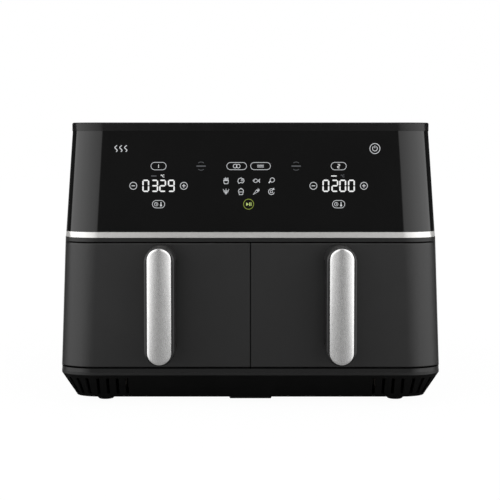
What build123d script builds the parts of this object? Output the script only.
"""Dual-zone air fryer: two independent heated drawers side by side under one touch-control head.

Frame: +X to the right, +Y to the back, +Z up, in millimetres. The origin is on the worktop, under the
middle of the appliance. Zone 1 is on the left (-X) and zone 2 on the right (+X). Pieces that belong to a
zone are drawn for the right-hand zone; the left-hand ones are mirror images or shifted copies.
"""

import os
from math import atan2, cos, degrees, radians, sin

from build123d import *

os.makedirs("parts", exist_ok=True)

# ---------------------------------------------------------------- driving dimensions
# Body levels: (height, half width, front, back, corner radius across the width)
BASE = ((8.2, 191.7, -135.0, 170.0, 26.0), (35.0, 207.1, -150.6, 185.4, 38.0))
LOWER = ((43.0, 207.0, -151.0, 186.0, 38.0), (184.0, 201.8, -151.0, 186.0, 38.0))
UPPER = ((184.0, 201.5, -151.0, 186.0, 38.0), (298.5, 194.0, -145.0, 182.0, 36.5))
BODY_SQUASH = 0.62  # the body's corners are this much shallower than they are wide

FLOOR_Z = 8.2  # underside of the base moulding
RIM_Z = 35.0  # where the sloping base turns vertical
SILL_Z = 38.0  # top of the base moulding
TRIM_TOP_Z = 42.2
HOUSING_LOW_Z = 43.0
RAIL_Z = 179.5  # underside of the rail above the drawers
BAND_Z = 184.0
PANEL_Z = 190.0
CAP_Z = 298.5
TOP_Z = 307.6
REAR_SEAM_Y = 150.0  # where the side walls meet the rear cover
REAR_Y = 186.0
SPACER_Y = 193.0
SEAM = 0.5  # width and depth of the groove where two mouldings meet
WALL = 3.0

DRAWER_LOW_Z = 43.4
DRAWER_HIGH_Z = 178.3
DRAWER_BACK_Y = -137.0
DRAWER_CORNER = 4.0
DRAWER_EDGE = 1.4
DRAWER_GAP = 1.2
FRONT_Y = -151.0
FRAME_Y = (-130.8, -127.8)  # recessed plate that the drawers close against

ZONE_X = 97.0  # middle of each cavity
ZONE_Y = 0.0
CAVITY_WIDTH = 186.0
CAVITY_Z = (45.0, 214.2)
CAVITY_BACK_Y = 125.0
SHEET = 0.6  # liner sheet metal
MOUTH_Z = (45.0, 168.0)
MOUTH_CORNER = 4.5

BASKET = ((49.0, 84.0, -132.3, 111.0, 20.0), (165.0, 88.0, -132.3, 115.0, 24.0))
BASKET_SHEET = 1.2
FLANGE = 3.5
FLANGE_THICKNESS = 1.5

HANDLE_X = 95.2
HANDLE_Z = 115.0
HANDLE_WIDTH = 32.0
HANDLE_HEIGHT = 125.0
HANDLE_FRONT_Y = -190.2
INLAY_FRONT_Y = -193.0
INLAY_CROWN_RADIUS = 32.0
GRIP_THICKNESS = 17.0
FINGER_Z = (69.0, 161.0)
INLAY_WIDTH = 25.4
INLAY_HEIGHT = 122.0
INLAY_DEPTH = 1.5

SHAFT_RADIUS = 4.0
BEARING_CLEARANCE = 0.05
INNER_TERMINAL_X = 60.0
OUTER_TERMINAL_X = 80.0
SENSOR_Y = 84.0
# holes shared by the cavity ceiling, the shield and the deck: (x, y, radius) from the zone's middle
CEILING_HOLES = (
    (0.0, 0.0, 7.0),
    (INNER_TERMINAL_X, 0.0, 5.0),
    (OUTER_TERMINAL_X, 0.0, 5.0),
    (0.0, SENSOR_Y, 3.2),
)
SWITCH_X = 195.0
SWITCH_Z = 95.0
PLUNGER_RADIUS = 1.8
SCREW_HEAD_RADIUS = 4.0
MOTOR_Z = (222.4, 256.4)
MOTOR_RADIUS = 34.0
ROTOR_RADIUS = 20.0
DECK_Z = (219.0, 220.2)


# ---------------------------------------------------------------- helpers
def between(section, z):
    """The outline (z, half width, front, back, radius) of a tapered section at height z."""
    low, high = section
    share = (z - low[0]) / (high[0] - low[0])
    return tuple(a + (b - a) * share for a, b in zip(low, high))


CORNERS = ((1, 1), (-1, 1), (-1, -1), (1, -1))


def tapered(section, z_low, z_high, inset=0.0, centre_x=0.0, squash=BODY_SQUASH):
    """Solid slice of a tapered section with quarter-ellipse corners, drawn in by inset all round."""
    with BuildPart() as slice_:
        for level in (z_low, z_high):
            z, half_width, front, back, radius = between(section, level)
            centre_y = (front + back) / 2
            half_x, half_y = half_width - inset, (back - front) / 2 - inset
            radius_x, radius_y = max(radius - inset, 2.0), max(squash * radius - inset, 2.0)
            flat_x, flat_y = half_x - radius_x, half_y - radius_y
            with BuildSketch(Plane.XY.offset(z)):
                with BuildLine():
                    for quarter, (way_x, way_y) in enumerate(CORNERS):
                        heart = (centre_x + way_x * flat_x, centre_y + way_y * flat_y)
                        EllipticalCenterArc(heart, radius_x, radius_y, 90.0 * quarter, arc_size=90.0)
                    for way in (1, -1):
                        edge_x, edge_y = centre_x + way * half_x, centre_y + way * half_y
                        Line((centre_x - flat_x, edge_y), (centre_x + flat_x, edge_y))
                        Line((edge_x, centre_y - flat_y), (edge_x, centre_y + flat_y))
                make_face()
        loft(ruled=True)
    return slice_.part


def block(x, y, z):
    """Box between two corners, each axis given as (low, high)."""
    with BuildPart() as made:
        with Locations(((x[0] + x[1]) / 2, (y[0] + y[1]) / 2, (z[0] + z[1]) / 2)):
            Box(x[1] - x[0], y[1] - y[0], z[1] - z[0])
    return made.part


FAR = 300.0
WIDE = (-FAR, FAR)


def write(piece, name):
    """Labels a finished piece and writes its STEP file."""
    piece.label = name
    export_step(piece, f"parts/{name}.step")


def write_mirrored(piece, name):
    """Writes the right-hand piece and its mirror image for the left-hand zone."""
    write(piece, f"right_{name}")
    write(mirror(piece, about=Plane.YZ), f"left_{name}")


def write_copied(piece, name):
    """Writes the right-hand piece and the same piece shifted to the left-hand zone."""
    write(piece, f"right_{name}")
    write(piece.moved(Location((-2 * ZONE_X, 0, 0))), f"left_{name}")


# ---------------------------------------------------------------- base and feet
VENT_WIDTH = 3.2
VENT_PITCH = 10.4
VENT_Z = (12.0, 31.0)
VENT_REACH = 24.0
BASE_SCREW_Y = 15.0
BASE_SCREW_PITCH = (280.0, 210.0)
SCREW_RADIUS = 2.0
SCREW_HEAD = 2.4
SLOT_LENGTH = 5.0
SLOT_WIDTH = 0.9
SLOT_DEPTH = 1.4


def vent_places():
    """(x, y, angle) of the slots along the right half of the base: front, corner, then side."""
    _, half_width, front, back, radius = between(BASE, sum(VENT_Z) / 2)
    places = [(half_width - radius - VENT_PITCH * (0.2 + i), front, -90.0) for i in range(4)]
    corner_x, corner_y = half_width - radius, front + BODY_SQUASH * radius
    for i in range(5):
        turn = radians(18.0 * i - 74.0)
        place = (corner_x + radius * cos(turn), corner_y + BODY_SQUASH * radius * sin(turn))
        places.append((*place, degrees(atan2(sin(turn) / BODY_SQUASH, cos(turn)))))
    side_slots = int((back - radius - corner_y) / VENT_PITCH)
    places += [(half_width, corner_y + VENT_PITCH * (0.5 + i), 0.0) for i in range(side_slots)]
    return places


RIM_LEVEL = (207.1, -150.6, 185.4, 38.0)
RIM = (BASE[1], (SILL_Z,) + RIM_LEVEL)

with BuildPart() as base:
    add(tapered(BASE, FLOOR_Z, RIM_Z))
    add(tapered(RIM, RIM_Z, SILL_Z))
    add(tapered(BASE, FLOOR_Z + WALL, RIM_Z, inset=WALL), mode=Mode.SUBTRACT)
    add(tapered(RIM, RIM_Z, SILL_Z, inset=WALL), mode=Mode.SUBTRACT)
    # air slots round the sloping sides
    for side in (1, -1):
        for x, y, angle in vent_places():
            turn = angle if side > 0 else 180.0 - angle
            with Locations(Location((side * x, y, sum(VENT_Z) / 2), (0, 0, turn))):
                Box(VENT_REACH, VENT_WIDTH, VENT_Z[1] - VENT_Z[0], mode=Mode.SUBTRACT)
    # intake slots under each zone
    with BuildSketch(Plane.XY.offset(FLOOR_Z)):
        for side in (-1, 1):
            with Locations((side * ZONE_X, 20.0)):
                with GridLocations(0, 12.0, 1, 9):
                    SlotOverall(84.0, 4.0)
    extrude(amount=WALL, mode=Mode.SUBTRACT)
    # screw recesses
    with BuildSketch(Plane.XY.offset(FLOOR_Z)):
        with Locations((0, BASE_SCREW_Y)):
            with GridLocations(*BASE_SCREW_PITCH, 2, 2):
                Circle(SCREW_RADIUS + 0.2)
    extrude(amount=WALL, mode=Mode.SUBTRACT)
    # moulded skid under the front edge, just clear of the worktop
    with BuildSketch(Plane.XZ.offset(109.6)):
        with BuildLine():
            Polyline((-26.0, FLOOR_Z), (-22.8, 0.6), (22.8, 0.6), (26.0, FLOOR_Z), close=True)
        make_face()
    extrude(amount=-14.0)
write(base.part, "base")

FOOT_RADIUS = 11.6
FOOT_Y = 20.0
FOOT_PITCH = (324.0, 245.0)
with BuildPart() as feet:
    with BuildSketch(Plane.XY):
        with Locations((0, FOOT_Y)):
            with GridLocations(*FOOT_PITCH, 2, 2):
                Circle(FOOT_RADIUS)
    extrude(amount=FLOOR_Z)
    chamfer(feet.edges().group_by(Axis.Z)[0], 3.4)
write(feet.part, "feet")

with BuildPart() as base_screws:
    with BuildSketch(Plane.XY.offset(FLOOR_Z - SCREW_HEAD)):
        with Locations((0, BASE_SCREW_Y)):
            with GridLocations(*BASE_SCREW_PITCH, 2, 2):
                Circle(SCREW_HEAD_RADIUS)
    extrude(amount=SCREW_HEAD)
    with BuildSketch(Plane.XY.offset(FLOOR_Z)):
        with Locations((0, BASE_SCREW_Y)):
            with GridLocations(*BASE_SCREW_PITCH, 2, 2):
                Circle(SCREW_RADIUS)
    extrude(amount=14.0)
    with BuildSketch(Plane.XY.offset(FLOOR_Z - SCREW_HEAD)):
        with Locations((0, BASE_SCREW_Y)):
            with GridLocations(*BASE_SCREW_PITCH, 2, 2):
                Rectangle(SLOT_LENGTH, SLOT_WIDTH)
                Rectangle(SLOT_WIDTH, SLOT_LENGTH)
    extrude(amount=SLOT_DEPTH, mode=Mode.SUBTRACT)
write(base_screws.part, "base_screws")

with BuildPart() as base_trim:
    add(tapered(LOWER, SILL_Z, TRIM_TOP_Z, inset=0.3))
    add(tapered(LOWER, SILL_Z, TRIM_TOP_Z, inset=5.0), mode=Mode.SUBTRACT)
    add(block(WIDE, (REAR_SEAM_Y, FAR), WIDE), mode=Mode.SUBTRACT)
    # sill below the drawers
    add(tapered(LOWER, TRIM_TOP_Z - 2.4, TRIM_TOP_Z, inset=4.0) & block(WIDE, (-FAR, FRAME_Y[1]), WIDE))
write(base_trim.part, "base_trim")

# ---------------------------------------------------------------- lower housing
LEDGE = 11.0
SKIRT = (5.0, 7.5)
INSIDE_WALLS = block(WIDE, (FRAME_Y[1], REAR_SEAM_Y), WIDE)
with BuildPart() as housing_shell:
    add(tapered(LOWER, HOUSING_LOW_Z, BAND_Z))
    add(tapered(LOWER, HOUSING_LOW_Z, BAND_Z, inset=WALL), mode=Mode.SUBTRACT)
    add(block(WIDE, (-FAR, DRAWER_BACK_Y + DRAWER_GAP), (0.0, RAIL_Z)), mode=Mode.SUBTRACT)
    add(block(WIDE, (REAR_SEAM_Y, FAR), WIDE), mode=Mode.SUBTRACT)
    # rail above the drawers
    add(tapered(LOWER, RAIL_Z, BAND_Z, inset=1.0) & block(WIDE, (-FAR, FRAME_Y[1]), WIDE))
    # ledge that carries the head, and the skirt that locates on the base
    add(tapered(LOWER, BAND_Z - WALL, BAND_Z, inset=1.0) & INSIDE_WALLS)
    add(tapered(LOWER, BAND_Z - WALL, BAND_Z, inset=LEDGE) & INSIDE_WALLS, mode=Mode.SUBTRACT)
    add(tapered(LOWER, HOUSING_LOW_Z, HOUSING_LOW_Z + WALL, inset=1.0) & INSIDE_WALLS)
    add(tapered(LOWER, SILL_Z, HOUSING_LOW_Z + 1.0, inset=SKIRT[0]) & INSIDE_WALLS)
    add(tapered(LOWER, SILL_Z, HOUSING_LOW_Z + WALL, inset=SKIRT[1]) & INSIDE_WALLS, mode=Mode.SUBTRACT)
    # recessed plate with one mouth for each drawer
    add(tapered(LOWER, TRIM_TOP_Z, RAIL_Z + 1.0, inset=SKIRT[0]) & block(WIDE, FRAME_Y, WIDE))
    add(tapered(LOWER, HOUSING_LOW_Z, RAIL_Z + 1.0, inset=1.0) & block(WIDE, FRAME_Y, WIDE))
    with BuildSketch(Plane.XZ.offset(-FRAME_Y[1])):
        with Locations((ZONE_X, sum(MOUTH_Z) / 2), (-ZONE_X, sum(MOUTH_Z) / 2)):
            RectangleRounded(CAVITY_WIDTH, MOUTH_Z[1] - MOUTH_Z[0], MOUTH_CORNER)
        with Locations((SWITCH_X, SWITCH_Z), (-SWITCH_X, SWITCH_Z)):
            Circle(PLUNGER_RADIUS + 0.5)
    extrude(amount=FRAME_Y[1] - FRAME_Y[0], mode=Mode.SUBTRACT)
write(housing_shell.part, "housing_shell")

# ---------------------------------------------------------------- upper housing
with BuildPart() as trim_band:
    add(tapered(UPPER, BAND_Z, PANEL_Z))
    add(tapered(UPPER, BAND_Z, PANEL_Z, inset=2.5), mode=Mode.SUBTRACT)
    add(block(WIDE, (REAR_SEAM_Y, FAR), WIDE), mode=Mode.SUBTRACT)
write(trim_band.part, "trim_band")

with BuildPart() as control_panel:
    add(tapered(UPPER, PANEL_Z, CAP_Z))
    add(tapered(UPPER, PANEL_Z, CAP_Z, inset=WALL), mode=Mode.SUBTRACT)
    add(block(WIDE, (REAR_SEAM_Y, FAR), WIDE), mode=Mode.SUBTRACT)
write(control_panel.part, "control_panel")

CAP_OVERHANG = 0.4
CAP_STEPS = (0.0, CAP_OVERHANG, -CAP_OVERHANG, CAP_OVERHANG, CAP_OVERHANG)
CAP_LEVEL = tuple(value + step for value, step in zip(UPPER[1], CAP_STEPS))
CAP = (CAP_LEVEL, (TOP_Z,) + CAP_LEVEL[1:])
with BuildPart() as top_cover:
    add(tapered(CAP, CAP_Z, TOP_Z))
    fillet(top_cover.edges().group_by(Axis.Z)[-1], 1.6)
    add(tapered(CAP, CAP_Z, TOP_Z - 2.6, inset=WALL), mode=Mode.SUBTRACT)
    # locating skirt that drops inside the head
    add(tapered(UPPER, CAP_Z - 6.0, CAP_Z + 7.0, inset=WALL + 0.4))
    add(tapered(UPPER, CAP_Z - 6.0, CAP_Z + 6.0, inset=WALL + 2.4), mode=Mode.SUBTRACT)
write(top_cover.part, "top_cover")

# ---------------------------------------------------------------- rear cover
OUTLET_Z = (184.5, 210.0)
OUTLET_HALF_WIDTH = 50.0
GLAND_X = 150.0
GLAND_Z = 72.0
GLAND_HOLE_RADIUS = 8.0
REAR_SCREWS = ((-158.0, 60.0), (160.0, 50.0), (-148.0, 235.0), (148.0, 235.0), (0.0, 60.0), (0.0, 235.0))
GRILLES = (
    (-ZONE_X, OUTLET_HALF_WIDTH + 1.5, (OUTLET_Z[0] - 1.0, OUTLET_Z[1] + 1.0), (181.2, 183.6), 13),
    (ZONE_X, OUTLET_HALF_WIDTH + 1.5, (OUTLET_Z[0] - 1.0, OUTLET_Z[1] + 1.0), (181.2, 183.6), 13),
    (0.0, 140.0, (248.0, 282.0), (177.8, 180.8), 31),
)


def grille(x, half_width, z_range, y_range, slots):
    """Flat plate pierced by a row of upright slots."""
    pitch = 2 * (half_width - 3.0) / slots
    with BuildPart() as plate:
        add(block((x - half_width, x + half_width), y_range, z_range))
        with BuildSketch(Plane.XZ.offset(-y_range[1])):
            with Locations((x, sum(z_range) / 2)):
                with GridLocations(pitch, 0, slots, 1):
                    SlotOverall(z_range[1] - z_range[0] - 7.0, 0.52 * pitch, rotation=90)
        extrude(amount=y_range[1] - y_range[0], mode=Mode.SUBTRACT)
    return plate.part


# The cover continues the lower body upwards without the step at the band.
REAR = ((BAND_Z,) + LOWER[1][1:], UPPER[1])

with BuildPart() as rear_cover:
    add(tapered(LOWER, SILL_Z, BAND_Z))
    add(tapered(REAR, BAND_Z, CAP_Z))
    add(tapered(LOWER, SILL_Z, BAND_Z, inset=WALL), mode=Mode.SUBTRACT)
    add(tapered(REAR, BAND_Z, CAP_Z, inset=WALL), mode=Mode.SUBTRACT)
    add(block(WIDE, (-FAR, REAR_SEAM_Y), WIDE), mode=Mode.SUBTRACT)
    # groove along the seam with the side walls
    seam_y = (REAR_SEAM_Y, REAR_SEAM_Y + SEAM)
    for section, low, high in ((LOWER, SILL_Z, BAND_Z), (REAR, BAND_Z, CAP_Z)):
        collar = tapered(section, low, high, inset=-1.0) - tapered(section, low, high, inset=SEAM)
        add(collar & block(WIDE, seam_y, WIDE), mode=Mode.SUBTRACT)
    # windows for the air outlets and the head's vent, each closed by a recessed grille
    for grille_x, half_width, z_range, y_range, slots in GRILLES:
        window = (z_range[0] + 1.5, z_range[1] - 1.5)
        reach = (grille_x - half_width + 1.5, grille_x + half_width - 1.5)
        add(block(reach, (y_range[0] - 2.0, 200.0), window), mode=Mode.SUBTRACT)
        add(grille(grille_x, half_width, z_range, y_range, slots))
    with BuildSketch(Plane.XZ.offset(-REAR_Y - 1.0)):
        with Locations((GLAND_X, GLAND_Z)):
            Circle(GLAND_HOLE_RADIUS)
        with Locations(*REAR_SCREWS):
            Circle(2.2)
    extrude(amount=12.0, mode=Mode.SUBTRACT)
    # wall spacers
    with BuildSketch(Plane.XZ.offset(-REAR_Y)):
        with Locations((120.0, 120.0), (-120.0, 120.0)):
            SlotOverall(90.0, 10.0, rotation=90)
    extrude(amount=REAR_Y - SPACER_Y)
write(rear_cover.part, "rear_cover")

with BuildPart() as rear_screws:
    for x, z in REAR_SCREWS:
        surface_y = between(REAR if z > BAND_Z else LOWER, z - SCREW_HEAD_RADIUS)[3]
        with BuildSketch(Plane.XZ.offset(-surface_y)):
            with Locations((x, z)):
                Circle(SCREW_HEAD_RADIUS)
        extrude(amount=-SCREW_HEAD)
        with BuildSketch(Plane.XZ.offset(-surface_y)):
            with Locations((x, z)):
                Circle(SCREW_RADIUS)
        extrude(amount=14.0)
        with BuildSketch(Plane.XZ.offset(-surface_y - SCREW_HEAD)):
            with Locations((x, z)):
                Rectangle(SLOT_LENGTH, SLOT_WIDTH)
                Rectangle(SLOT_WIDTH, SLOT_LENGTH)
        extrude(amount=SLOT_DEPTH, mode=Mode.SUBTRACT)
write(rear_screws.part, "rear_screws")

CORD_RADIUS = 4.0
with BuildPart() as cord_gland:
    with BuildSketch(Plane(origin=(GLAND_X, REAR_Y, GLAND_Z), x_dir=(1, 0, 0), z_dir=(0, 0, 1))):
        with BuildLine():
            Polyline(
                (CORD_RADIUS, -10.0),
                (CORD_RADIUS, 6.5),
                (6.6, 6.5),
                (8.6, 2.2),
                (11.0, 1.8),
                (11.0, 0.0),
                (GLAND_HOLE_RADIUS, 0.0),
                (GLAND_HOLE_RADIUS, -WALL),
                (10.0, -WALL),
                (10.0, -5.0),
                (7.0, -10.0),
                close=True,
            )
        make_face()
    revolve(axis=Axis((GLAND_X, REAR_Y, GLAND_Z), (0, 1, 0)))
write(cord_gland.part, "cord_gland")

# ---------------------------------------------------------------- cavities
with BuildPart() as cavity_liner:
    with BuildSketch(Plane.XZ.offset(-FRAME_Y[1])):
        with Locations((ZONE_X, sum(CAVITY_Z) / 2)):
            RectangleRounded(CAVITY_WIDTH + 2 * SHEET, CAVITY_Z[1] - CAVITY_Z[0] + 2 * SHEET, 8.0 + SHEET)
    extrude(amount=-(CAVITY_BACK_Y + SHEET - FRAME_Y[1]))
    with BuildSketch(Plane.XZ.offset(-FRAME_Y[1])):
        with Locations((ZONE_X, sum(CAVITY_Z) / 2)):
            RectangleRounded(CAVITY_WIDTH, CAVITY_Z[1] - CAVITY_Z[0], 8.0)
    extrude(amount=-(CAVITY_BACK_Y - FRAME_Y[1]), mode=Mode.SUBTRACT)
    add(
        block(
            (ZONE_X - OUTLET_HALF_WIDTH + 2, ZONE_X + OUTLET_HALF_WIDTH - 2),
            (CAVITY_BACK_Y - 2, CAVITY_BACK_Y + 4),
            (OUTLET_Z[0] + 2, OUTLET_Z[1] - 2),
        ),
        mode=Mode.SUBTRACT,
    )
    for x, y, hole_radius in CEILING_HOLES:
        with Locations((ZONE_X + x, ZONE_Y + y, CAVITY_Z[1])):
            Cylinder(hole_radius, 10.0, mode=Mode.SUBTRACT)
write_copied(cavity_liner.part, "cavity_liner")

RAIL_TOP_Z = BASKET[1][0] - FLANGE_THICKNESS - 0.4
RAIL_Y = (-123.8, 112.0)
with BuildPart() as rails:
    for side in (-1, 1):
        inner = ZONE_X + side * (CAVITY_WIDTH / 2 - 4.2)
        wall = ZONE_X + side * CAVITY_WIDTH / 2
        add(block((min(inner, wall), max(inner, wall)), RAIL_Y, (RAIL_TOP_Z - 1.5, RAIL_TOP_Z)))
        lip = wall - side * 1.5
        add(block((min(lip, wall), max(lip, wall)), RAIL_Y, (RAIL_TOP_Z - 14.0, RAIL_TOP_Z)))
write_copied(rails.part, "rails")

DUCT_SHEET = 1.0
with BuildPart() as outlet_duct:
    add(
        block(
            (ZONE_X - OUTLET_HALF_WIDTH, ZONE_X + OUTLET_HALF_WIDTH),
            (CAVITY_BACK_Y + SHEET, 181.0),
            OUTLET_Z,
        )
    )
    add(
        block(
            (ZONE_X - OUTLET_HALF_WIDTH + DUCT_SHEET, ZONE_X + OUTLET_HALF_WIDTH - DUCT_SHEET),
            (CAVITY_BACK_Y, 182.0),
            (OUTLET_Z[0] + DUCT_SHEET, OUTLET_Z[1] - DUCT_SHEET),
        ),
        mode=Mode.SUBTRACT,
    )
write_copied(outlet_duct.part, "outlet_duct")

# tubular heating element: a spiral of half circles, each a little larger than the last
HEATER_Z = 179.0
TUBE_RADIUS = 3.2
FIRST_TURN = 60.0
TURN_STEP = 5.0
HALF_TURNS = 4
TERMINAL_TOP_Z = 226.0
with BuildPart() as heater:
    x = ZONE_X + FIRST_TURN
    inner_end = x
    arcs = []
    for i in range(HALF_TURNS):
        arc_radius = FIRST_TURN + i * TURN_STEP
        way = -1 if i % 2 == 0 else 1
        end = x + way * 2 * arc_radius
        middle = ((x + end) / 2, ZONE_Y - way * arc_radius, HEATER_Z)
        arcs.append(((x, ZONE_Y, HEATER_Z), middle, (end, ZONE_Y, HEATER_Z)))
        x = end
    outer_end = x
    with BuildLine() as spiral:
        for start, middle, end in arcs:
            ThreePointArc(start, middle, end)
    with BuildSketch(Plane(origin=(inner_end, ZONE_Y, HEATER_Z), x_dir=(1, 0, 0), z_dir=(0, 1, 0))):
        Circle(TUBE_RADIUS)
    sweep(path=spiral.wires()[0])
    for place in (inner_end, outer_end):
        with BuildSketch(Plane.XY.offset(HEATER_Z - TUBE_RADIUS)):
            with Locations((place, ZONE_Y)):
                Circle(TUBE_RADIUS + 0.6)
        extrude(amount=TERMINAL_TOP_Z - HEATER_Z)
write_copied(heater.part, "heater")

GUARD_Z = (172.0, 174.0)
GUARD_POST = 64.0
with BuildPart() as heater_guard:
    with BuildSketch(Plane.XY.offset(GUARD_Z[0])):
        with Locations((ZONE_X, ZONE_Y)):
            for ring_radius in (18.0, 36.0, 54.0, 72.0, 91.0):
                Circle(ring_radius)
                Circle(ring_radius - 2.2, mode=Mode.SUBTRACT)
    extrude(amount=GUARD_Z[1] - GUARD_Z[0])
    for angle in (45.0, 135.0):
        with Locations(Location((ZONE_X, ZONE_Y, sum(GUARD_Z) / 2), (0, 0, angle))):
            Box(182.0, 2.2, GUARD_Z[1] - GUARD_Z[0])
    with BuildSketch(Plane.XY.offset(GUARD_Z[0])):
        with Locations((ZONE_X, ZONE_Y)):
            Circle(15.8)
    extrude(amount=GUARD_Z[1] - GUARD_Z[0], mode=Mode.SUBTRACT)
    with BuildSketch(Plane.XY.offset(GUARD_Z[0])):
        with Locations((ZONE_X, ZONE_Y)):
            with GridLocations(2 * GUARD_POST, 2 * GUARD_POST, 2, 2):
                Circle(2.2)
    extrude(amount=CAVITY_Z[1] - GUARD_Z[0])
write_copied(heater_guard.part, "heater_guard")

with BuildPart() as heat_shield:
    with BuildSketch(Plane.XY.offset(CAVITY_Z[1] + SHEET)):
        with Locations((ZONE_X, ZONE_Y)):
            RectangleRounded(176.0, 150.0, 14.0)
            for x, y, hole_radius in CEILING_HOLES[:3]:
                with Locations((x, y)):
                    Circle(hole_radius, mode=Mode.SUBTRACT)
    extrude(amount=DECK_Z[0] - CAVITY_Z[1] - SHEET)
write_copied(heat_shield.part, "heat_shield")

# ---------------------------------------------------------------- deck, motors and fans
DECK_INSET = WALL + 0.6
LEG_X = (192.4, 195.6)
LEG_Y = (-90.0, 0.0, 90.0)
with BuildPart() as motor_deck:
    add(tapered(UPPER, DECK_Z[0], DECK_Z[1], inset=DECK_INSET))
    for side in (-1, 1):
        for x, y, hole_radius in CEILING_HOLES:
            place = side * ZONE_X + x
            with Locations((place, ZONE_Y + y, sum(DECK_Z) / 2)):
                Cylinder(hole_radius, 10.0, mode=Mode.SUBTRACT)
        for y in LEG_Y:
            leg_x = tuple(sorted((side * LEG_X[0], side * LEG_X[1])))
            add(block(leg_x, (y - 9.0, y + 9.0), (BAND_Z, DECK_Z[1])))
    # cooling air slots beside each motor
    for side in (-1, 1):
        with BuildSketch(Plane.XY.offset(DECK_Z[0])):
            with Locations((side * ZONE_X, -100.0), (side * ZONE_X, 120.0)):
                with GridLocations(9.0, 0, 12, 1):
                    SlotOverall(26.0, 4.0, rotation=90)
        extrude(amount=DECK_Z[1] - DECK_Z[0], mode=Mode.SUBTRACT)
write(motor_deck.part, "motor_deck")

with BuildPart() as motor_bracket:
    with BuildSketch(Plane.XY.offset(DECK_Z[1])):
        with Locations((ZONE_X, ZONE_Y)):
            RectangleRounded(84.0, 84.0, 10.0)
            Circle(7.0, mode=Mode.SUBTRACT)
    extrude(amount=MOTOR_Z[0] - DECK_Z[1])
    with BuildSketch(Plane.XY.offset(MOTOR_Z[0])):
        with Locations((ZONE_X, ZONE_Y)):
            with GridLocations(68.0, 68.0, 2, 2):
                Circle(4.5)
    extrude(amount=2.6)
write_copied(motor_bracket.part, "motor_bracket")

MOTOR_END = 3.5
with BuildPart() as motor:
    with BuildSketch(Plane.XY.offset(MOTOR_Z[0])):
        with Locations((ZONE_X, ZONE_Y)):
            Circle(MOTOR_RADIUS)
    extrude(amount=MOTOR_Z[1] - MOTOR_Z[0])
    fillet(motor.edges().group_by(Axis.Z)[-1], 2.5)
    with BuildSketch(Plane.XY.offset(MOTOR_Z[1])):
        with Locations((ZONE_X, ZONE_Y)):
            Circle(9.0)
    extrude(amount=2.5)
    with BuildSketch(Plane.XY.offset(MOTOR_Z[0] + MOTOR_END)):
        with Locations((ZONE_X, ZONE_Y)):
            Circle(ROTOR_RADIUS + 0.6)
    extrude(amount=MOTOR_Z[1] - MOTOR_Z[0] - 2 * MOTOR_END, mode=Mode.SUBTRACT)
    with BuildSketch(Plane.XY.offset(MOTOR_Z[0])):
        with Locations((ZONE_X, ZONE_Y)):
            Circle(SHAFT_RADIUS + BEARING_CLEARANCE)
    extrude(amount=60.0, mode=Mode.SUBTRACT)
    # cooling windows round the upper shoulder
    for i in range(8):
        turn = 45.0 * i
        place = (ZONE_X + 26.0 * cos(radians(turn)), ZONE_Y + 26.0 * sin(radians(turn)), MOTOR_Z[1])
        with Locations(Location(place, (0, 0, turn))):
            Box(9.0, 6.0, 4.0, mode=Mode.SUBTRACT)
write_copied(motor.part, "motor")

SHAFT_Z = (185.0, 279.0)
with BuildPart() as shaft:
    with BuildSketch(Plane.XY.offset(SHAFT_Z[0])):
        with Locations((ZONE_X, ZONE_Y)):
            Circle(SHAFT_RADIUS)
    extrude(amount=SHAFT_Z[1] - SHAFT_Z[0])
    with BuildSketch(Plane.XY.offset(MOTOR_Z[0] + MOTOR_END + 1.0)):
        with Locations((ZONE_X, ZONE_Y)):
            Circle(ROTOR_RADIUS)
    extrude(amount=MOTOR_Z[1] - MOTOR_Z[0] - 2 * MOTOR_END - 2.0)
write_copied(shaft.part, "shaft")


def fan(disc_z, blade_z, disc_radius, hub_radius, blades, blade_thickness):
    """Open radial wheel pressed on the shaft: a disc, straight backward-leaning blades and a hub."""
    with BuildPart() as wheel:
        with BuildSketch(Plane.XY.offset(disc_z[0])):
            with Locations((ZONE_X, ZONE_Y)):
                Circle(disc_radius)
        extrude(amount=disc_z[1] - disc_z[0])
        for i in range(blades):
            with Locations(Location((ZONE_X, ZONE_Y, sum(blade_z) / 2), (0, 0, 360.0 * i / blades))):
                with Locations(Location(((disc_radius + hub_radius) / 2 - 1.0, 7.0, 0), (0, 0, 24.0))):
                    Box(disc_radius - hub_radius - 8.0, blade_thickness, blade_z[1] - blade_z[0])
        with BuildSketch(Plane.XY.offset(min(disc_z[0], blade_z[0] + 2.0))):
            with Locations((ZONE_X, ZONE_Y)):
                Circle(hub_radius)
        extrude(amount=max(disc_z[1], blade_z[1] - 2.0) - min(disc_z[0], blade_z[0] + 2.0))
        with BuildSketch(Plane.XY.offset(min(disc_z[0], blade_z[0]))):
            with Locations((ZONE_X, ZONE_Y)):
                Circle(SHAFT_RADIUS)
        extrude(amount=60.0, mode=Mode.SUBTRACT)
    return wheel.part


write_copied(fan((205.0, 206.2), (188.0, 205.2), 52.0, 9.0, 12, 1.4), "hot_fan")
write_copied(fan((263.0, 264.6), (264.4, 276.0), 48.0, 8.0, 14, 1.6), "cooling_fan")

# ---------------------------------------------------------------- sensors and switches
with BuildPart() as cavity_sensor:
    with BuildSketch(Plane.XY.offset(200.0)):
        with Locations((ZONE_X, ZONE_Y + SENSOR_Y)):
            Circle(2.2)
    extrude(amount=DECK_Z[1] - 200.0)
    with BuildSketch(Plane.XY.offset(DECK_Z[1])):
        with Locations((ZONE_X, ZONE_Y + SENSOR_Y)):
            SlotOverall(20.0, 9.0)
    extrude(amount=1.6)
    with BuildSketch(Plane.XY.offset(DECK_Z[1])):
        with Locations((ZONE_X, ZONE_Y + SENSOR_Y)):
            Circle(3.4)
    extrude(amount=8.0)
write_copied(cavity_sensor.part, "cavity_sensor")

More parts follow.
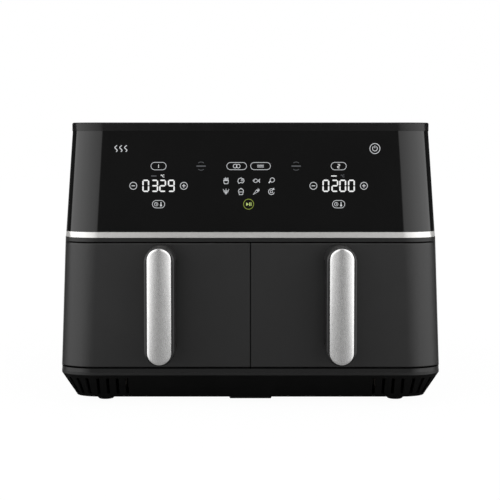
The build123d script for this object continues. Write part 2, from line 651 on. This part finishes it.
with BuildPart() as thermal_cutout:
    with BuildSketch(Plane.XY.offset(DECK_Z[1])):
        with Locations((ZONE_X, ZONE_Y - 66.0)):
            SlotOverall(34.0, 13.0)
    extrude(amount=1.2)
    with BuildSketch(Plane.XY.offset(DECK_Z[1])):
        with Locations((ZONE_X, ZONE_Y - 66.0)):
            Circle(8.0)
    extrude(amount=9.0)
    for x in (ZONE_X - 4.5, ZONE_X + 4.5):
        with Locations((x, ZONE_Y - 66.0, DECK_Z[1] + 12.0)):
            Box(0.8, 5.0, 7.0)
write_copied(thermal_cutout.part, "thermal_cutout")

SWITCH_THICKNESS = 6.0
with BuildPart() as drawer_switch:
    add(
        block(
            (SWITCH_X - SWITCH_THICKNESS / 2, SWITCH_X + SWITCH_THICKNESS / 2),
            (FRAME_Y[1], FRAME_Y[1] + 20.0),
            (SWITCH_Z - 5.5, SWITCH_Z + 5.5),
        )
    )
    with BuildSketch(Plane.XZ.offset(-FRAME_Y[1])):
        with Locations((SWITCH_X, SWITCH_Z)):
            Circle(PLUNGER_RADIUS)
    extrude(amount=FRAME_Y[1] - DRAWER_BACK_Y - 0.4)
    for z in (SWITCH_Z - 3.0, SWITCH_Z, SWITCH_Z + 3.0):
        with Locations((SWITCH_X, FRAME_Y[1] + 23.0, z)):
            Box(3.0, 6.0, 0.6)
write_mirrored(drawer_switch.part, "drawer_switch")

# ---------------------------------------------------------------- electronics
BOARD_Z = (226.0, 227.6)
with BuildPart() as power_board:
    add(block((-38.0, 38.0), (-88.0, 108.0), BOARD_Z))
    with BuildSketch(Plane.XY.offset(DECK_Z[1])):
        with Locations((0, 10.0)):
            with GridLocations(66.0, 186.0, 2, 2):
                Circle(3.0)
    extrude(amount=BOARD_Z[0] - DECK_Z[1])
    top = BOARD_Z[1]
    # mains filter, relays, transformer, heatsink and terminal blocks
    add(block((-32.0, -14.0), (72.0, 98.0), (top, top + 20.0)))
    add(block((-8.0, 10.0), (74.0, 96.0), (top, top + 12.0)))
    for y in (30.0, 48.0):
        add(block((14.0, 33.0), (y - 7.5, y + 7.5), (top, top + 15.0)))
    add(block((-30.0, -4.0), (22.0, 50.0), (top, top + 18.0)))
    add(block((-33.0, -21.0), (-40.0, 6.0), (top, top + 3.0)))
    for i in range(7):
        add(block((-32.6 + 1.8 * i, -31.8 + 1.8 * i), (-40.0, 6.0), (top, top + 24.0)))
    for y in (-20.0, -4.0):
        with BuildSketch(Plane.XY.offset(top)):
            with Locations((6.0, y)):
                Circle(6.0)
        extrude(amount=20.0)
    for y in (-60.0, -46.0, -32.0):
        add(block((24.0, 35.0), (y - 5.0, y + 5.0), (top, top + 10.0)))
    add(block((-11.0, 11.0), (-86.0, -80.0), (top, top + 5.0)))
write(power_board.part, "power_board")

DISPLAY_Z = (226.0, 288.0)
DISPLAY_INSET = (5.0, 6.6)
with BuildPart() as display_board:
    front_zone = block((-156.0, 156.0), (-160.0, -120.0), WIDE)
    add(tapered(UPPER, DISPLAY_Z[0], DISPLAY_Z[1], inset=DISPLAY_INSET[0]) & front_zone)
    add(tapered(UPPER, DISPLAY_Z[0], DISPLAY_Z[1], inset=DISPLAY_INSET[1]), mode=Mode.SUBTRACT)
    for x in (-150.0, -60.0, 60.0, 150.0):
        spacer = tapered(UPPER, DISPLAY_Z[0], DISPLAY_Z[1], inset=WALL) - tapered(
            UPPER, DISPLAY_Z[0], DISPLAY_Z[1], inset=DISPLAY_INSET[0]
        )
        add(spacer & block((x - 3.0, x + 3.0), (-160.0, -120.0), WIDE))
    add(block((-11.0, 11.0), (-143.6, -136.0), (232.0, 237.0)))
write(display_board.part, "display_board")

RIBBON = 0.8
with BuildPart() as ribbon_cable:
    with BuildSketch(Plane.YZ.offset(-9.0)):
        with BuildLine():
            Polyline(
                (-136.0, 234.0),
                (-126.0, 234.0),
                (-106.0, 230.0),
                (-86.0, 230.0),
                (-86.0, 230.0 + RIBBON),
                (-106.0, 230.0 + RIBBON),
                (-126.0, 234.0 + RIBBON),
                (-136.0, 234.0 + RIBBON),
                close=True,
            )
        make_face()
    extrude(amount=18.0)
write(ribbon_cable.part, "ribbon_cable")

# ---------------------------------------------------------------- drawers
FRONT_WALL = 2.6
SCREW_PITCH = 104.0
with BuildPart() as drawer_front:
    add(tapered(LOWER, DRAWER_LOW_Z, DRAWER_HIGH_Z))
    add(block(WIDE, (DRAWER_BACK_Y, FAR), WIDE), mode=Mode.SUBTRACT)
    add(block((-FAR, DRAWER_GAP / 2), WIDE, WIDE), mode=Mode.SUBTRACT)
    top_edges = drawer_front.faces().sort_by(Axis.Z)[-1].edges()
    bottom_edges = drawer_front.faces().sort_by(Axis.Z)[0].edges()
    front_edges = [e for e in top_edges + bottom_edges if e.center().Y < DRAWER_BACK_Y - 1.0]
    fillet([e for e in front_edges if e.center().X > DRAWER_GAP], DRAWER_EDGE)
    # the rear corners are rounded where the side seam meets the top and bottom gaps
    with BuildSketch(Plane.YZ):
        with Locations((DRAWER_BACK_Y - FAR / 2, (DRAWER_LOW_Z + DRAWER_HIGH_Z) / 2)):
            RectangleRounded(FAR, DRAWER_HIGH_Z - DRAWER_LOW_Z, DRAWER_CORNER)
    extrude(amount=FAR, both=True, mode=Mode.INTERSECT)
    hollow_z = (DRAWER_LOW_Z + DRAWER_CORNER + 1.0, DRAWER_HIGH_Z - DRAWER_CORNER - 1.0)
    hollow = tapered(LOWER, hollow_z[0], hollow_z[1], inset=FRONT_WALL)
    hollow_zone = block((DRAWER_GAP / 2 + FRONT_WALL, SWITCH_X - 5.0), (-FAR, DRAWER_BACK_Y), WIDE)
    add(hollow & hollow_zone, mode=Mode.SUBTRACT)
    with BuildSketch(Plane.XZ.offset(-FRONT_Y - 5.0)):
        with Locations((HANDLE_X, HANDLE_Z)):
            with GridLocations(0, SCREW_PITCH, 1, 2):
                Circle(SCREW_RADIUS)
    extrude(amount=10.0, mode=Mode.SUBTRACT)
write_mirrored(drawer_front.part, "drawer_front")

PANEL_BACK_Y = BASKET[0][2]
PANEL_SHEET = 1.2
with BuildPart() as drawer_inner_panel:
    with BuildSketch(Plane.XZ.offset(-PANEL_BACK_Y)):
        with Locations((ZONE_X, 109.0)):
            RectangleRounded(191.0, 129.0, 9.0)
    extrude(amount=PANEL_BACK_Y - DRAWER_BACK_Y)
    fillet(drawer_inner_panel.faces().sort_by(Axis.Y)[-1].edges(), 1.5)
    with BuildSketch(Plane.XZ.offset(-PANEL_BACK_Y + PANEL_SHEET)):
        with Locations((ZONE_X, 109.0)):
            RectangleRounded(183.0, 121.0, 6.0)
    extrude(amount=20.0, mode=Mode.SUBTRACT)
write_mirrored(drawer_inner_panel.part, "drawer_inner_panel")

with BuildPart() as basket:
    low, high = BASKET[0][0], BASKET[1][0]
    add(tapered(BASKET, low, high, centre_x=ZONE_X, squash=1.0))
    fillet(basket.edges().group_by(Axis.Z)[0], 5.0)
    with BuildPart(mode=Mode.PRIVATE) as inside:
        add(tapered(BASKET, low + BASKET_SHEET, high, inset=BASKET_SHEET, centre_x=ZONE_X, squash=1.0))
        fillet(inside.edges().group_by(Axis.Z)[0], 4.0)
    with BuildPart(mode=Mode.PRIVATE) as flange:
        add(tapered(BASKET, high - FLANGE_THICKNESS, high, inset=-FLANGE, centre_x=ZONE_X, squash=1.0))
        add(block(WIDE, (PANEL_BACK_Y, FAR), WIDE), mode=Mode.INTERSECT)
    add(flange.part)
    add(inside.part, mode=Mode.SUBTRACT)
write_copied(basket.part, "basket")

with BuildPart() as handle:
    with BuildSketch(Plane.XZ.offset(-FRONT_Y)):
        with Locations((HANDLE_X, HANDLE_Z)):
            SlotOverall(HANDLE_HEIGHT, HANDLE_WIDTH, rotation=90)
    extrude(amount=FRONT_Y - HANDLE_FRONT_Y)
    fillet(handle.faces().sort_by(Axis.Y)[0].edges(), 2.4)
    with BuildSketch(Plane.YZ.offset(HANDLE_X - HANDLE_WIDTH)):
        with Locations(((HANDLE_FRONT_Y + GRIP_THICKNESS + FRONT_Y) / 2 + 5.0, sum(FINGER_Z) / 2)):
            RectangleRounded(
                FRONT_Y - HANDLE_FRONT_Y - GRIP_THICKNESS + 10.0, FINGER_Z[1] - FINGER_Z[0], 9.0
            )
    extrude(amount=2 * HANDLE_WIDTH, mode=Mode.SUBTRACT)
    with BuildSketch(Plane.XZ.offset(-HANDLE_FRONT_Y - INLAY_DEPTH)):
        with Locations((HANDLE_X, HANDLE_Z)):
            SlotOverall(INLAY_HEIGHT, INLAY_WIDTH, rotation=90)
    extrude(amount=10.0, mode=Mode.SUBTRACT)
    with BuildSketch(Plane.XZ.offset(-FRONT_Y)):
        with Locations((HANDLE_X, HANDLE_Z)):
            with GridLocations(0, SCREW_PITCH, 1, 2):
                Circle(SCREW_RADIUS)
    extrude(amount=14.0, mode=Mode.SUBTRACT)
write_mirrored(handle.part, "handle")

with BuildPart() as handle_inlay:
    with BuildSketch(Plane.XZ.offset(-HANDLE_FRONT_Y - INLAY_DEPTH)):
        with Locations((HANDLE_X, HANDLE_Z)):
            SlotOverall(INLAY_HEIGHT, INLAY_WIDTH, rotation=90)
    extrude(amount=HANDLE_FRONT_Y + INLAY_DEPTH - INLAY_FRONT_Y)
    with BuildSketch(Plane.XY.offset(HANDLE_Z - INLAY_HEIGHT)):
        with Locations((HANDLE_X, INLAY_FRONT_Y + INLAY_CROWN_RADIUS)):
            Circle(INLAY_CROWN_RADIUS)
    extrude(amount=2 * INLAY_HEIGHT, mode=Mode.INTERSECT)
write_mirrored(handle_inlay.part, "handle_inlay")

with BuildPart() as drawer_screws:
    with BuildSketch(Plane.XZ.offset(-FRONT_Y - FRONT_WALL)):
        with Locations((HANDLE_X, HANDLE_Z)):
            with GridLocations(0, SCREW_PITCH, 1, 2):
                Circle(SCREW_RADIUS)
    extrude(amount=FRONT_WALL + 12.0)
    with BuildSketch(Plane.XZ.offset(-FRONT_Y - FRONT_WALL)):
        with Locations((HANDLE_X, HANDLE_Z)):
            with GridLocations(0, SCREW_PITCH, 1, 2):
                Circle(SCREW_HEAD_RADIUS)
    extrude(amount=-SCREW_HEAD)
write_mirrored(drawer_screws.part, "drawer_screws")

# ---------------------------------------------------------------- crisper plates
PLATE_Z = (58.5, 60.0)
PLATE_LIP_Z = 56.0
PLATE_X = 80.5
PLATE_Y = (-127.6, 106.6)
with BuildPart() as crisper_plate:
    with BuildSketch(Plane.XY.offset(PLATE_LIP_Z)):
        with Locations((ZONE_X, sum(PLATE_Y) / 2)):
            RectangleRounded(2 * PLATE_X, PLATE_Y[1] - PLATE_Y[0], 17.0)
    extrude(amount=PLATE_Z[1] - PLATE_LIP_Z)
    fillet(crisper_plate.edges().group_by(Axis.Z)[-1], 1.2)
    with BuildSketch(Plane.XY.offset(PLATE_LIP_Z)):
        with Locations((ZONE_X, sum(PLATE_Y) / 2)):
            RectangleRounded(2 * PLATE_X - 3.0, PLATE_Y[1] - PLATE_Y[0] - 3.0, 15.5)
    extrude(amount=PLATE_Z[0] - PLATE_LIP_Z, mode=Mode.SUBTRACT)
    # slots, left out round the finger hole in the middle
    middle_y = sum(PLATE_Y) / 2
    slots = [
        (ZONE_X + column * 37.0, middle_y + row * 13.0)
        for column in (-1.5, -0.5, 0.5, 1.5)
        for row in range(-7, 8)
        if abs(column) > 1 or abs(row) > 1
    ]
    with BuildSketch(Plane.XY.offset(PLATE_Z[0])):
        with Locations(*slots):
            SlotOverall(28.0, 4.4)
        with Locations((ZONE_X, middle_y)):
            Circle(11.0)
    extrude(amount=PLATE_Z[1] - PLATE_Z[0], mode=Mode.SUBTRACT)
write_copied(crisper_plate.part, "crisper_plate")

BUMPER_Y = (-70.0, 54.0)
BUMPER_OUTER_X = 82.4
with BuildPart() as plate_bumpers:
    for side in (-1, 1):
        for y in BUMPER_Y:
            for low_x, high_x, low_z, high_z in (
                (72.0, 79.5, 50.6, 54.1),
                (72.0, BUMPER_OUTER_X, 54.0, PLATE_LIP_Z),
                (PLATE_X, BUMPER_OUTER_X, PLATE_LIP_Z - 0.1, PLATE_Z[1] + 0.6),
            ):
                span = sorted((ZONE_X + side * low_x, ZONE_X + side * high_x))
                add(block(tuple(span), (y - 8.0, y + 8.0), (low_z, high_z)))
write_copied(plate_bumpers.part, "plate_bumpers")
